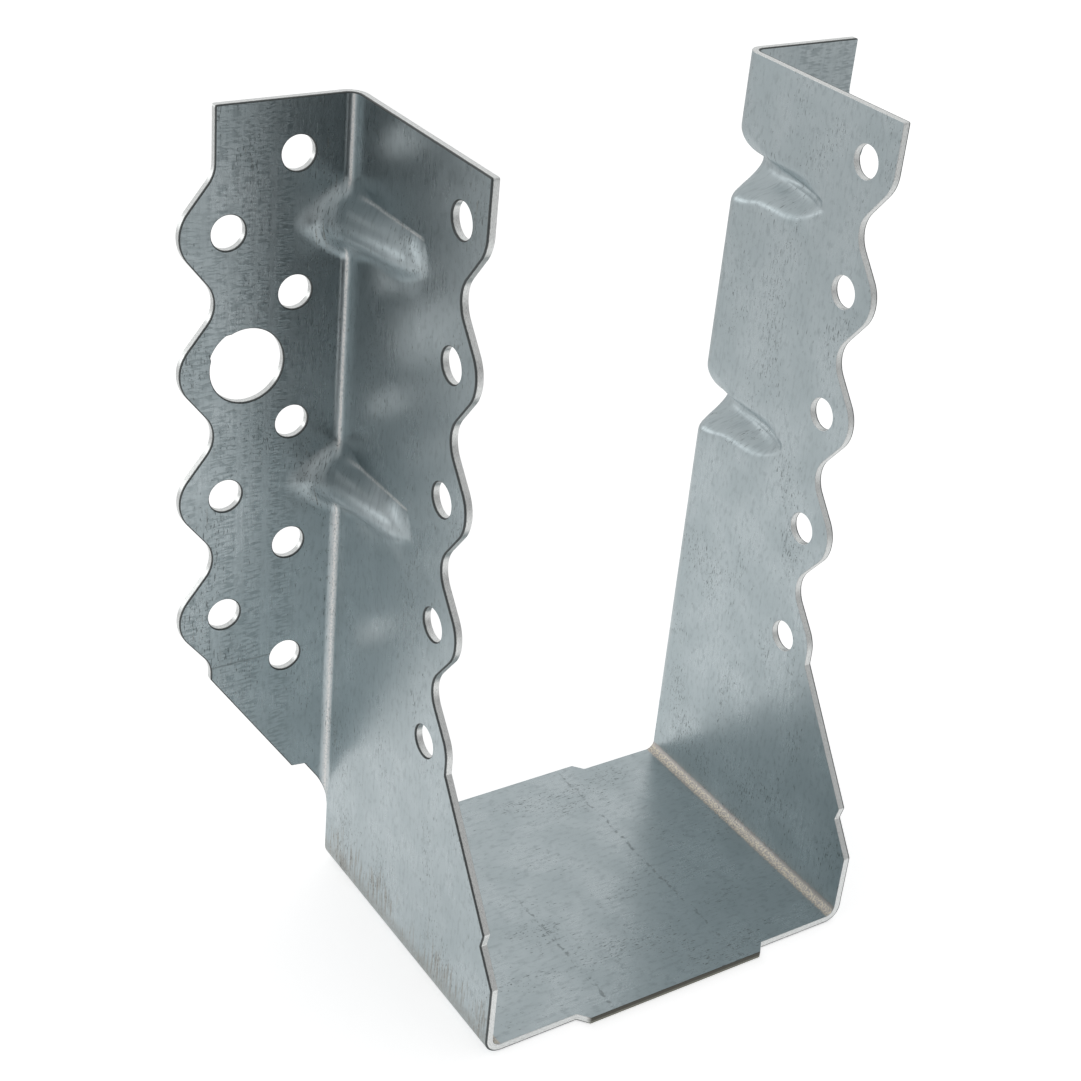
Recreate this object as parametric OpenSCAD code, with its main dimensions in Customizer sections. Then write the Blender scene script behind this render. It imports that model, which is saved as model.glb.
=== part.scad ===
// Joist hanger: one galvanised steel sheet, punched, beaded and folded into a U-shaped stirrup
// with a nailing flange turned out on each side.
//
// The joist sits on the seat, between the two side plates. The flanges lie flat on the header.
// X runs across the joist, Y points into the header and Z is up. The origin lies under the
// middle of the seat, so the hanger stands on the plane z = 0.

/* [Overall] */
// Clear width between the side plates, half a millimetre over the joist's width
joist_w = 64.5; // [56.5:1:120.5]
// Depth of the seat from the header face to its front lip
seat_depth = 53.8; // [50:0.2:58]
// Reach of a flange from the side plate's inner face to the crests of its scallops
flange_reach = 26.2; // [25.5:0.1:29]
// Depth of the side plates from the header face to the crests of their scallops
plate_depth = 35.6; // [34:0.1:38]

/* [Sheet] */
// Thickness of the sheet
sheet_t = 1.25; // [1:0.05:1.8]
// Inside radius of every bend
bend_r = 1.5; // [1:0.1:2]

/* [Nail rows] */
// Number of nails down each side plate
rows = 5; // [4:1:8]
// Distance from one nail row to the next
pitch = 19.7; // [18.7:0.1:20.7]
// Height of the lowest nail row above the seat
low_row_z = 40.1; // [39.1:0.5:50]
// Sheet left above the top nail row
top_margin = 7.6; // [6:0.1:12]

/* [Holes] */
// Diameter of a nail hole
nail_d = 5; // [4:0.1:5.5]
// Diameter of the bolt hole in each flange
bolt_d = 11; // [9:0.1:11.5]
// Distance of the inner nail column from the side plate's inner face
flange_nail_in = 9.2; // [9:0.1:10]
// Distance of the outer nail column from the side plate's inner face
flange_nail_out = 19.2; // [18:0.1:20]
// Distance of the bolt hole from the side plate's inner face
bolt_x = 16.2; // [15.5:0.1:17]
// Distance of the side plate's nails from the header face
plate_nail_y = 29.5; // [28.5:0.1:30.5]

/* [Scalloped edges] */
// Depth of a scallop from crest to valley
scallop_h = 5; // [4:0.1:5.4]
// Radius of a crest
crest_r = 5.6; // [5:0.1:6]
// Radius of a valley
valley_r = 4.6; // [4:0.1:5]

/* [Lower edges] */
// Angle of the slanted edges from the vertical
slant_angle = 34.5; // [33:0.5:37]
// Straight edge below the lowest crest of a side plate, down to the slant
slant_drop = 2; // [1:0.1:3]
// Height above the seat at which both slanted edges step back
step_z = 18.8; // [17:0.1:20]
// Width of the flange at that step, from the side plate's outer face
foot_w = 6.1; // [5.8:0.1:7]
// How far the sheet's edge steps back round the bottom bends
recess = 1.7; // [1:0.1:1.9]
// Length of the slope at each of those steps
step_slope = 1.5; // [1:0.1:2]
// Width of the full-depth lip in the middle of the seat
lip_w = 32; // [24:1:44]

/* [Beads] */
// Number of stiffening beads pressed into each vertical bend
beads = 2; // [1:1:2]
// Distance of the top bead below the top edge
bead_drop = 17.3; // [15.4:0.1:20]
// Distance from one bead to the next
bead_pitch = 39.6; // [36:0.1:42]
// Run of a bead's ridge along the flange
bead_leg_flange = 6.2; // [5.5:0.1:7]
// Run of a bead's ridge along the side plate
bead_leg_plate = 18.5; // [16:0.1:19.5]
// Radius of the ridge on the outside of a bead
bead_r = 3.6; // [3.2:0.1:4]
// Slope of a bead's flanks
bead_angle = 20; // [15:1:25]
// Radius of the shoulders where a bead runs out into the bend
bead_shoulder_r = 3.6; // [3:0.1:4]

/* [Hidden] */
$fn = 96;
eps = 0.01;
far = 40;
bead_steps = 7;

// Planes of the folded sheet, with the seat's top face at z = 0 and the header face at y = 0
inner_x = joist_w / 2;
outer_x = inner_x + sheet_t;
bend_out_r = bend_r + sheet_t;
top_z = low_row_z + (rows - 1) * pitch + top_margin;
crest_x = inner_x + flange_reach;
lip_half = lip_w / 2;

// Nail rows and the rows half-way between them, counted in half pitches from the lowest row
last_row = 2 * (rows - 1);
bolt_row = last_row - 3;
function row_z(k) = low_row_z + k * pitch / 2;
function is_odd(k) = k % 2 == 1;

// Where the straight flank of a scallop leaves the crest and the valley
arm = valley_r + crest_r;
rise = arm - scallop_h;
flank = atan2(pitch / 2, rise) - acos(arm / norm([rise, pitch / 2]));

// The bead's ridge line, in plan, and its depths below that line
bead_turn = atan2(bead_leg_flange, bead_leg_plate);
bead_len = norm([bead_leg_flange, bead_leg_plate]);
corner_depth = bead_leg_flange * cos(bead_turn);
bend_axis_depth = corner_depth - bend_r * (cos(bead_turn) + sin(bead_turn));

// ---- Outline helpers -----------------------------------------------------------------------

// The two ends of a crest's arc whose highest point lies at distance w, in row height z
function crest_ends(w, z) = [for (s = [-1, 1])
    [w - crest_r * (1 - cos(flank)), z + s * crest_r * sin(flank)]];

// The two ends of a valley's arc whose lowest point lies at distance w
function valley_ends(w, z) = [for (s = [-1, 1])
    [w + valley_r * (1 - cos(flank)), z + s * valley_r * sin(flank)]];

// Ends of the arc at half row k of an edge with crests at distance w
function scallop_ends(w, k, crest) =
    crest ? crest_ends(w, row_z(k)) : valley_ends(w - scallop_h, row_z(k));

// Straight parts of a scalloped edge, from the lowest row to the top edge. The edge runs
// straight above the top row and below the lowest one.
function scallop_line(w, odd_crests) = let (end_w = odd_crests ? w - scallop_h : w)
    [[end_w, row_z(0)],
     scallop_ends(w, 0, !odd_crests)[1],
     for (k = [1:last_row - 1]) each scallop_ends(w, k, is_odd(k) == odd_crests),
     scallop_ends(w, last_row, !odd_crests)[0],
     [end_w, row_z(last_row)],
     [end_w, top_z]];

// An outline whose outer edge is scalloped, with its other corners in base
module scalloped(w, odd_crests, base) {
    difference() {
        union() {
            polygon(concat(scallop_line(w, odd_crests), base));
            for (k = [0:last_row])
                if (is_odd(k) == odd_crests)
                    translate([w - crest_r, row_z(k)])
                        circle(crest_r);
        }
        for (k = [0:last_row])
            if (is_odd(k) != odd_crests)
                translate([w - scallop_h + valley_r, row_z(k)])
                    circle(valley_r);
    }
}

// The far end of the short slope by which a slanted edge steps back from point p. The edge runs
// down and away from the middle of the sheet for side 1, and down and towards it for side -1.
function step_back(p, side) = [
    p[0] + side * step_slope * sin(slant_angle) - recess * cos(slant_angle),
    p[1] - step_slope * cos(slant_angle) - side * recess * sin(slant_angle)];

// Quarter ring: the section of a bend whose arc runs from +X to +Y
module bend_section() {
    intersection() {
        difference() {
            circle(bend_out_r);
            circle(bend_r);
        }
        square(bend_out_r + 1);
    }
}

// ---- Side plate ----------------------------------------------------------------------------

// Outline of a side plate as (distance in front of the header face, height)
module plate_outline() {
    slant_z = row_z(0) - slant_drop;
    step_y = plate_depth + (slant_z - step_z) * tan(slant_angle);
    stepped = step_back([step_y, step_z], 1);
    front_y = seat_depth - recess;
    front_z = stepped[1] - (front_y - stepped[0]) / tan(slant_angle);
    foot_z = flange_foot_z(outer_x);
    scalloped(plate_depth, false, [
        [bend_out_r, top_z],
        [bend_out_r, foot_z],
        [recess, foot_z - bend_out_r + recess],
        [recess, bend_r],
        [front_y, bend_r],
        [front_y, front_z],
        stepped,
        [step_y, step_z],
        [plate_depth, slant_z]]);
}

// The flat part of a side plate, on the +X side
module plate_sheet() {
    translate([inner_x, 0, 0])
        rotate([90, 0, -90])
            mirror([0, 0, 1])
                linear_extrude(sheet_t)
                    plate_outline();
}

// ---- Flange --------------------------------------------------------------------------------

// The far end of the step in the flange's slanted edge, as (x, height)
function flange_step() = step_back([outer_x + foot_w, step_z], -1);

// Height of the flange's stepped edge at distance x from the middle
function flange_foot_z(x) = flange_step()[1] - (flange_step()[0] - x) / tan(slant_angle);

// Outline of a flange and its bend seen from the front, as (x, height)
module flange_outline() {
    valley_x = crest_x - scallop_h;
    slant_z = step_z + (valley_x - outer_x - foot_w) / tan(slant_angle);
    scalloped(crest_x, true, [
        [inner_x - eps, top_z],
        [inner_x - eps, flange_foot_z(inner_x - eps)],
        flange_step(),
        [outer_x + foot_w, step_z],
        [valley_x, slant_z]]);
}

// Flange and vertical bend, on the +X side
module flange_sheet() {
    intersection() {
        linear_extrude(top_z) {
            translate([outer_x + bend_r, -sheet_t])
                square([far, sheet_t]);
            translate([outer_x + bend_r, -bend_out_r])
                mirror([1, 0])
                    bend_section();
        }
        translate([0, eps, 0])
            rotate([90, 0, 0])
                linear_extrude(bend_out_r + 2 * eps)
                    flange_outline();
    }
}

// ---- Bead ----------------------------------------------------------------------------------

// Half of a bead's section as (depth below the ridge, half width): the ridge's arc, the flank
// and the shoulder's arc, which ends level with the bend at the given mouth depth
function bead_half(top, r, shoulder, mouth) = let (
        turn = 90 - bead_angle,
        flank_top = [top + r * (1 - sin(bead_angle)), r * cos(bead_angle)],
        flank_end_x = mouth - shoulder * (1 - sin(bead_angle)),
        flank_end_y = flank_top[1] + (flank_end_x - flank_top[0]) * tan(bead_angle))
    [for (a = [0:turn / bead_steps:turn])
        [top + r * (1 - cos(a)), r * sin(a)],
     for (a = [bead_angle:turn / bead_steps:90])
        [flank_end_x + shoulder * (sin(a) - sin(bead_angle)),
         flank_end_y + shoulder * (cos(bead_angle) - cos(a))]];

// Full section of a bead, closed at the given depth
module bead_section(top, r, shoulder, mouth, depth) {
    half = bead_half(top, r, shoulder, mouth);
    last = half[len(half) - 1];
    polygon(concat(
        half,
        [[depth, last[1]], [depth, -last[1]]],
        [for (i = [len(half) - 1:-1:1]) [half[i][0], -half[i][1]]]));
}

// A section swept along the ridge line of the bead at height z, on the +X side
module along_bead(z) {
    translate([outer_x + bead_leg_flange, -sheet_t, z])
        mirror([1, 0, 0])
            rotate([90, 0, bead_turn])
                translate([0, 0, -bead_len])
                    linear_extrude(3 * bead_len)
                        children();
}

// The space in front of the middle of the sheet, where the outside of a bead may stand
module bead_room(z) {
    mid_r = bend_r + sheet_t / 2;
    translate([0, 0, z - far / 2])
        linear_extrude(far) {
            translate([outer_x + bend_r, -far])
                square([far, far - sheet_t / 2]);
            translate([inner_x + sheet_t / 2, -far])
                square([far, far - bend_out_r]);
            translate([outer_x + bend_r, -bend_out_r])
                circle(mid_r);
        }
}

// The ridge that a bead raises on the outside of the corner
module bead_ridge(z) {
    intersection() {
        along_bead(z)
            bead_section(0, bead_r, bead_shoulder_r - sheet_t, bend_axis_depth + bend_r + 0.1, far);
        bead_room(z);
    }
}

// The groove that a bead leaves on the inside of the corner
module bead_groove(z) {
    along_bead(z)
        bead_section(sheet_t, bead_r - sheet_t, bead_shoulder_r, bend_axis_depth + bend_out_r + 0.1, far);
}

// ---- Holes ---------------------------------------------------------------------------------

// A hole through the sheet, centred on the origin and running along Z
module hole(d) {
    cylinder(d = d, h = 4 * sheet_t, center = true);
}

// Nail holes of the side plate on the +X side
module plate_holes() {
    for (k = [0:2:last_row])
        translate([inner_x + sheet_t / 2, -plate_nail_y, row_z(k)])
            rotate([0, 90, 0])
                hole(nail_d);
}

// Nail holes and the bolt hole of the flange on the +X side
module flange_holes() {
    for (k = [0:last_row])
        if (k != bolt_row)
            translate([inner_x + (is_odd(k) ? flange_nail_out : flange_nail_in), -sheet_t / 2, row_z(k)])
                rotate([90, 0, 0])
                    hole(nail_d);
    translate([inner_x + bolt_x, -sheet_t / 2, row_z(bolt_row)])
        rotate([90, 0, 0])
            hole(bolt_d);
}

// ---- Seat and assembly ---------------------------------------------------------------------

// The seat between the bottom bends, with its full-depth lip in the middle
module seat_sheet() {
    flat_x = inner_x - bend_r;
    slope_x = lip_half + step_slope;
    translate([0, 0, -sheet_t])
        linear_extrude(sheet_t)
            polygon([
                [-flat_x, -recess], [-slope_x, -recess], [-lip_half, 0],
                [lip_half, 0], [slope_x, -recess], [flat_x, -recess],
                [flat_x, recess - seat_depth], [slope_x, recess - seat_depth],
                [lip_half, -seat_depth], [-lip_half, -seat_depth],
                [-slope_x, recess - seat_depth], [-flat_x, recess - seat_depth]]);
}

// The bottom bend on the +X side
module bottom_bend() {
    translate([inner_x - bend_r, -recess, bend_r])
        rotate([90, 0, 0])
            linear_extrude(seat_depth - 2 * recess)
                mirror([0, 1])
                    bend_section();
}

// One side of the hanger, on the +X side
module side() {
    bead_z = [for (i = [0:beads - 1]) top_z - bead_drop - i * bead_pitch];
    difference() {
        union() {
            bottom_bend();
            plate_sheet();
            flange_sheet();
            for (z = bead_z)
                bead_ridge(z);
        }
        for (z = bead_z)
            bead_groove(z);
        plate_holes();
        flange_holes();
    }
}

// The whole hanger, standing on z = 0 with the seat centred on the origin
module joist_hanger() {
    color("#9ba4a7")
        translate([0, seat_depth / 2, sheet_t]) {
            seat_sheet();
            side();
            mirror([1, 0, 0])
                side();
        }
}

joist_hanger();
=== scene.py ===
"""Joist hanger: one galvanised steel sheet, punched, pressed and folded.

The sheet is drawn as its flat blank, triangulated there, and then folded point by point: round
the two bottom bends, round the two vertical bends, and out into the stiffening beads. Every
point keeps its place on the blank as an attribute, so grain, streaks and scuffs follow the
sheet round its bends as they do on the real one.
"""

import logging
import math
from collections.abc import Iterable
from dataclasses import dataclass, field
from enum import Enum
from functools import reduce
from typing import Any

import bpy
import numpy as np
from mathutils import Matrix, Vector
from mathutils.geometry import delaunay_2d_cdt


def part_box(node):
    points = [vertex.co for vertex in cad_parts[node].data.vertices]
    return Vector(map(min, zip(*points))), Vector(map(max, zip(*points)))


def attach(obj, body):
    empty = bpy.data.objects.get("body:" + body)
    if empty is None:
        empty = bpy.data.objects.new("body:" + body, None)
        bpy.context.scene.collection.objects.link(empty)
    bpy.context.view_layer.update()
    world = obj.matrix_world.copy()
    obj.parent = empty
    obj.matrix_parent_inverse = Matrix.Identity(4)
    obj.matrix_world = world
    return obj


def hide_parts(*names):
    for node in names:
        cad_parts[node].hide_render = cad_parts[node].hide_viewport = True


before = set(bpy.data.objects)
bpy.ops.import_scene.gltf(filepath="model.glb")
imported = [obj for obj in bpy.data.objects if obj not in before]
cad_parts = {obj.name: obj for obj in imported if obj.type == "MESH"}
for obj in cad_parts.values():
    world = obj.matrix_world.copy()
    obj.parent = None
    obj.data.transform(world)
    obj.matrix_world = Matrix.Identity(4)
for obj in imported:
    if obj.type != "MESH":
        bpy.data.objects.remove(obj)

Array = np.ndarray
Pair = tuple[float, float]
Triple = tuple[float, float, float]
Line = list[Pair]
Swing = tuple[float, ...]
Socket = bpy.types.NodeSocket
Tree = bpy.types.NodeTree

LOG = logging.getLogger("joist_hanger")
MM = 0.001
NODE = "joist_hanger"
BLANK_ATTRIBUTE = "blank"
# Millimetres that count as no length, and as no height of a bead
TINY = 1e-6
FLAT = 1e-4


# ---- Sizes ---------------------------------------------------------------------------------


@dataclass(frozen=True)
class SheetSizes:
    """Sizes of the hanger in millimetres, under the names that the part's source uses."""

    joist_w: float = 64.5
    seat_depth: float = 53.8
    flange_reach: float = 26.2
    plate_depth: float = 35.6
    sheet_t: float = 1.25
    bend_r: float = 1.5
    rows: int = 5
    pitch: float = 19.7
    low_row_z: float = 40.1
    top_margin: float = 7.6
    nail_d: float = 5.0
    bolt_d: float = 11.0
    flange_nail_in: float = 9.2
    flange_nail_out: float = 19.2
    bolt_x: float = 16.2
    plate_nail_y: float = 29.5
    scallop_h: float = 5.0
    crest_r: float = 5.6
    valley_r: float = 4.6
    slant_angle: float = 34.5
    slant_drop: float = 2.0
    step_z: float = 18.8
    foot_w: float = 6.1
    recess: float = 1.7
    step_slope: float = 1.5
    lip_w: float = 32.0
    bead_drop: float = 17.3
    bead_pitch: float = 39.6
    beads: int = 2

    @property
    def inner_x(self) -> float:
        """Distance of a side plate's inner face from the middle."""
        return self.joist_w / 2

    @property
    def outer_x(self) -> float:
        """Distance of a side plate's outer face from the middle."""
        return self.inner_x + self.sheet_t

    @property
    def mid_r(self) -> float:
        """Radius of the middle of the sheet in a bend."""
        return self.bend_r + self.sheet_t / 2

    @property
    def bend_out_r(self) -> float:
        """Outside radius of a bend."""
        return self.bend_r + self.sheet_t

    @property
    def top_z(self) -> float:
        """Height of the top edges above the seat."""
        return self.low_row_z + (self.rows - 1) * self.pitch + self.top_margin

    @property
    def crest_x(self) -> float:
        """Distance of the flange's crests from the middle."""
        return self.inner_x + self.flange_reach

    @property
    def last_row(self) -> int:
        """Number of the top row, counted in half rows."""
        return 2 * (self.rows - 1)

    @property
    def bolt_row(self) -> int:
        """Half row of the bolt hole."""
        return self.last_row - 3

    def row_z(self, half_row: int) -> float:
        """Height of a half row above the seat."""
        return self.low_row_z + half_row * self.pitch / 2

    def bead_z(self) -> list[float]:
        """Heights of the beads' ridges above the seat."""
        return [self.top_z - self.bead_drop - i * self.bead_pitch for i in range(self.beads)]


# ---- The flat blank ------------------------------------------------------------------------


@dataclass(frozen=True)
class Blank:
    """Right half of the flat sheet before folding, in millimetres.

    u runs along the strip from the middle of the seat, over the bottom bend and up the side
    plate. v runs across it from the header face to the front, and is negative on the flange.
    Steps are distances between the mesh's points, wide on the flat and close where the sheet
    is bent or pressed. bead_steps gives heights above a bead's ridge and the step from there on.
    Corners that turn by more than sharp_turn degrees are rounded, over corner_share of their
    shorter side at most. The flange's crests are trimmed by the little that their smooth arcs
    pass the solid's facets, and a worn punch leaves a nick in the bolt hole.
    """

    sizes: SheetSizes
    edge_step: float = 0.45
    corner_r: float = 0.35
    corner_share: float = 0.45
    corner_points: int = 5
    sharp_turn: float = 12.0
    foot_round: float = 2.4
    foot_points: int = 7
    middle_step: float = 3.0
    hole_closeness: float = 1.15
    clearance: float = 0.42
    crest_trim: float = 0.015
    nick_angle: float = 310.0
    nick_width: float = 24.0
    nick_depth: float = 0.32
    nick_slope: float = 5.0
    flat_step: float = 4.0
    bend_step: float = 0.3
    fade_z: Pair = (9.5, 14.0)
    pressed_step: float = 0.45
    pressed_flange: float = 9.5
    pressed_flange_step: float = 0.4
    pressed_plate: float = 23.5
    bead_steps: tuple[Pair, ...] = (
        (-8.5, 0.45), (-1.0, 0.2), (1.8, 0.3), (3.2, 0.2), (4.6, 0.4), (7.0, 4.0)
    )

    @property
    def bend_start(self) -> float:
        """u at which the seat turns into the bottom bend."""
        return self.sizes.inner_x - self.sizes.bend_r

    @property
    def bend_length(self) -> float:
        """Length of sheet that a right-angled bend takes."""
        return self.sizes.mid_r * math.pi / 2

    @property
    def fold_end(self) -> float:
        """v at which the vertical bend turns into the flange."""
        return self.sizes.bend_out_r - self.bend_length

    def u_at(self, z: float) -> float:
        """u of the side plate at height z above the seat."""
        return self.bend_start + self.bend_length + z - self.sizes.bend_r

    def v_at(self, x: float) -> float:
        """v of the flange, or of the vertical bend, at distance x from the middle."""
        s = self.sizes
        start = s.outer_x + s.bend_r
        if x >= start:
            return self.fold_end - (x - start)
        return s.bend_out_r - s.mid_r * math.acos(min(1.0, (start - x) / s.mid_r))

    def flank_angle(self) -> float:
        """Angle by which a crest or a valley turns before its straight flank."""
        s = self.sizes
        arm = s.valley_r + s.crest_r
        rise = arm - s.scallop_h
        return math.atan2(s.pitch / 2, rise) - math.acos(arm / math.hypot(rise, s.pitch / 2))

    def scallops(self, reach: float, odd_crests: bool) -> Line:
        """Points of a scalloped edge.

        Args:
            reach: Distance of the crests.
            odd_crests: Whether the crests stand at the odd half rows.

        Returns:
            Pairs of distance and height, from the lowest row up to the top edge.
        """
        s = self.sizes
        end = reach - s.scallop_h if odd_crests else reach
        points = []
        full = self.flank_angle()
        for half_row in range(s.last_row + 1):
            crest = (half_row % 2 == 1) == odd_crests
            radius = s.crest_r if crest else s.valley_r
            first = 0.0 if half_row == 0 else -full
            last = 0.0 if half_row == s.last_row else full
            count = max(2, round((last - first) * radius / self.edge_step))
            for angle in np.linspace(first, last, count + 1):
                depth = radius * (1 - math.cos(angle))
                distance = reach - depth if crest else reach - s.scallop_h + depth
                points.append((distance, s.row_z(half_row) + radius * math.sin(angle)))
        return points + [(end, s.top_z)]

    def step_back(self, point: Pair, side: int) -> Pair:
        """Far end of the short slope by which a slanted edge steps back from a point.

        Args:
            point: Distance and height at which the step starts.
            side: 1 where the edge runs down and outwards, -1 where it runs down and inwards.

        Returns:
            Distance and height at which the slanted edge goes on.
        """
        s = self.sizes
        slant = math.radians(s.slant_angle)
        return (
            point[0] + side * s.step_slope * math.sin(slant) - s.recess * math.cos(slant),
            point[1] - s.step_slope * math.cos(slant) - side * s.recess * math.sin(slant),
        )

    def edge_corners(self) -> Line:
        """Outer edge of the half blank as (u, v), from the front of the middle line round the
        side plate and the flange to its back."""
        s = self.sizes
        tangent = math.tan(math.radians(s.slant_angle))
        slant_z = s.row_z(0) - s.slant_drop
        step = (s.plate_depth + (slant_z - s.step_z) * tangent, s.step_z)
        stepped = self.step_back(step, 1)
        front = s.seat_depth - s.recess
        slope_u = s.lip_w / 2 + s.step_slope
        edge = [(0.0, s.seat_depth), (s.lip_w / 2, s.seat_depth), (slope_u, front)]
        edge.append((self.u_at(stepped[1] - (front - stepped[0]) / tangent), front))
        edge += [(self.u_at(z), y) for y, z in (stepped, step, (s.plate_depth, slant_z))]
        edge += [(self.u_at(z), y) for y, z in self.scallops(s.plate_depth, False)]
        valley = s.crest_x - s.scallop_h
        flange = self.scallops(s.crest_x - self.crest_trim, True)[::-1]
        foot = (s.outer_x + s.foot_w, s.step_z)
        flange.append((valley, s.step_z + (valley - foot[0]) / tangent))
        flange.append(foot)
        foot_end = self.step_back(foot, -1)
        flange.append(foot_end)
        edge += [(self.u_at(z), self.v_at(x)) for x, z in flange]
        foot_end_v = self.v_at(foot_end[0])
        low_z = foot_end[1] - (s.recess - foot_end_v) / tangent
        for t in np.linspace(0, 1, self.foot_points):
            bow = self.foot_round * (1 - t) ** 2
            z = low_z + bow - self.foot_round * t**2
            edge.append((self.u_at(z), s.recess - bow * tangent))
        edge += [(slope_u, s.recess), (s.lip_w / 2, 0.0), (0.0, 0.0)]
        return edge

    def rounded(self, points: Line) -> Array:
        """An open line with its sharp corners rounded.

        Args:
            points: Corners of the line.

        Returns:
            Its points, one row each.
        """
        line = np.array(points)
        out = [line[0]]
        for before, here, after in zip(line, line[1:], line[2:]):
            to_before, to_after = before - here, after - here
            room = min(np.linalg.norm(to_before), np.linalg.norm(to_after))
            to_before = to_before / np.linalg.norm(to_before)
            to_after = to_after / np.linalg.norm(to_after)
            turn = math.pi - math.acos(float(np.clip(to_before @ to_after, -1, 1)))
            cut = min(self.corner_r * math.tan(turn / 2), room * self.corner_share)
            if turn < math.radians(self.sharp_turn):
                out.append(here)
                continue
            a, b = here + to_before * cut, here + to_after * cut
            for t in np.linspace(0, 1, self.corner_points):
                out.append((1 - t) ** 2 * a + 2 * t * (1 - t) * here + t**2 * b)
        out.append(line[-1])
        return np.array(out)

    def divided(self, line: Array, step: float) -> Array:
        """A line with its long stretches cut into even steps.

        Args:
            line: Points, one row each.
            step: Longest step allowed.

        Returns:
            The points of the divided line.
        """
        out = [line[:1]]
        for a, b in zip(line, line[1:]):
            count = max(1, math.ceil(float(np.linalg.norm(b - a)) / step - TINY))
            out.append(a + (b - a) * np.linspace(0, 1, count + 1)[1:, None])
        return np.vstack(out)

    def edge(self) -> Array:
        """Sheared outer edge as an open line of (u, v)."""
        return self.divided(self.rounded(self.edge_corners()), self.edge_step)

    def middle_line(self) -> Array:
        """Points between the ends of the edge, up the middle of the seat."""
        ends = np.array([(0.0, 0.0), (0.0, self.sizes.seat_depth)])
        return self.divided(ends, self.middle_step)[1:-1]

    def hole(self, u: float, v: float, diameter: float, nicked: bool = False) -> Array:
        """A punched hole as a closed loop, clockwise so that the sheet stays on its left.

        Args:
            u: Place along the strip.
            v: Place across the strip.
            diameter: Diameter of the hole.
            nicked: Whether the worn punch left a nick in it.

        Returns:
            Points of the loop.
        """
        count = 2 * round(math.pi * diameter / self.edge_step / 2 * self.hole_closeness)
        angle = -np.linspace(0, 2 * math.pi, count, endpoint=False)
        radius = np.full(count, diameter / 2)
        if nicked:
            away = np.abs((np.degrees(angle) - self.nick_angle + 180) % 360 - 180)
            nick = np.clip((self.nick_width - away) / self.nick_slope, 0, 1)
            radius += self.nick_depth * nick
        return np.stack([u + radius * np.cos(angle), v + radius * np.sin(angle)], 1)

    def holes(self) -> list[Array]:
        """Every punched hole of the half blank."""
        s = self.sizes
        made = []
        for half_row in range(s.last_row + 1):
            u = self.u_at(s.row_z(half_row))
            if half_row % 2 == 0:
                made.append(self.hole(u, s.plate_nail_y, s.nail_d))
                made.append(self.hole(u, self.v_at(s.inner_x + s.flange_nail_in), s.nail_d))
            elif half_row == s.bolt_row:
                made.append(self.hole(u, self.v_at(s.inner_x + s.bolt_x), s.bolt_d, True))
            else:
                made.append(self.hole(u, self.v_at(s.inner_x + s.flange_nail_out), s.nail_d))
        return made

    def grid(self) -> Array:
        """Points inside the sheet, close together in the bends and the beads."""
        s, wide, bend = self.sizes, self.flat_step, self.bend_step
        bend_end = self.bend_start + self.bend_length
        u_stops = [(0.0, wide), (self.bend_start - bend, bend), (self.bend_start, bend)]
        u_stops += [(bend_end, bend), (bend_end + bend, wide)]
        fade_low, fade_high = map(self.u_at, self.fade_z)
        u_stops += [(fade_low, self.pressed_step), (fade_high, wide)]
        for z in sorted(s.bead_z()):
            u_stops += [(self.u_at(z + height), step) for height, step in self.bead_steps]
        u_stops.append((self.u_at(s.top_z), wide))
        v_stops = [(self.v_at(s.crest_x), wide)]
        v_stops.append((self.v_at(s.outer_x + self.pressed_flange), self.pressed_flange_step))
        v_stops += [(self.fold_end - bend, bend), (self.fold_end, bend), (s.bend_out_r, bend)]
        v_stops.append((s.bend_out_r + bend, self.pressed_step))
        v_stops += [(self.pressed_plate, wide), (s.seat_depth, wide)]
        lines = []
        for stops in (u_stops, v_stops):
            line = [np.array([stops[0][0]])]
            for (a, step), (b, _) in zip(stops, stops[1:]):
                count = max(1, round((b - a) / step))
                line.append(np.linspace(a, b, count + 1)[1:])
            lines.append(np.concatenate(line))
        u, v = np.meshgrid(*lines)
        return np.stack([u.ravel(), v.ravel()], 1)


def depth_inside(points: Array, loops: list[Array]) -> Array:
    """How far each point lies inside the area that closed loops bound.

    Args:
        points: Points to measure.
        loops: The outer loop and the holes.

    Returns:
        Distance to the nearest loop, negative outside the area.
    """
    starts = np.vstack(loops)
    ends = np.vstack([np.roll(loop, -1, axis=0) for loop in loops])
    out = np.empty(len(points))
    along = ends - starts
    length2 = np.maximum((along**2).sum(1), TINY**2)
    batch = 1000
    for first in range(0, len(points), batch):
        p = points[first : first + batch, None, :]
        t = np.clip(((p - starts) * along).sum(2) / length2, 0, 1)
        gap = p - (starts + t[..., None] * along)
        near = np.sqrt((gap**2).sum(2).min(1))
        crosses = (starts[:, 1] > p[..., 1]) != (ends[:, 1] > p[..., 1])
        slope = along[:, 0] / np.where(along[:, 1] == 0, TINY**2, along[:, 1])
        at = starts[:, 0] + (p[..., 1] - starts[:, 1]) * slope
        inside = (crosses & (p[..., 0] < at)).sum(1) % 2 == 1
        out[first : first + batch] = np.where(inside, near, -near)
    return out


# ---- Folding -------------------------------------------------------------------------------


@dataclass(frozen=True)
class BeadFlank:
    """One side of a bead: how far from the ridge the die holds the flat sheet, and the round foot
    there. Round the vertical bend nothing holds it, so the foot is further off and rounder. Where
    the bead stands less than full_rise high, it narrows towards its end. A soft side swells out
    of the sheet with no foot that shows, as every side does on the flange."""

    edge_h: float
    foot_r: float
    corner_h: float
    corner_r: float
    full_rise: float
    flange_h: float
    softness: float


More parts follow.
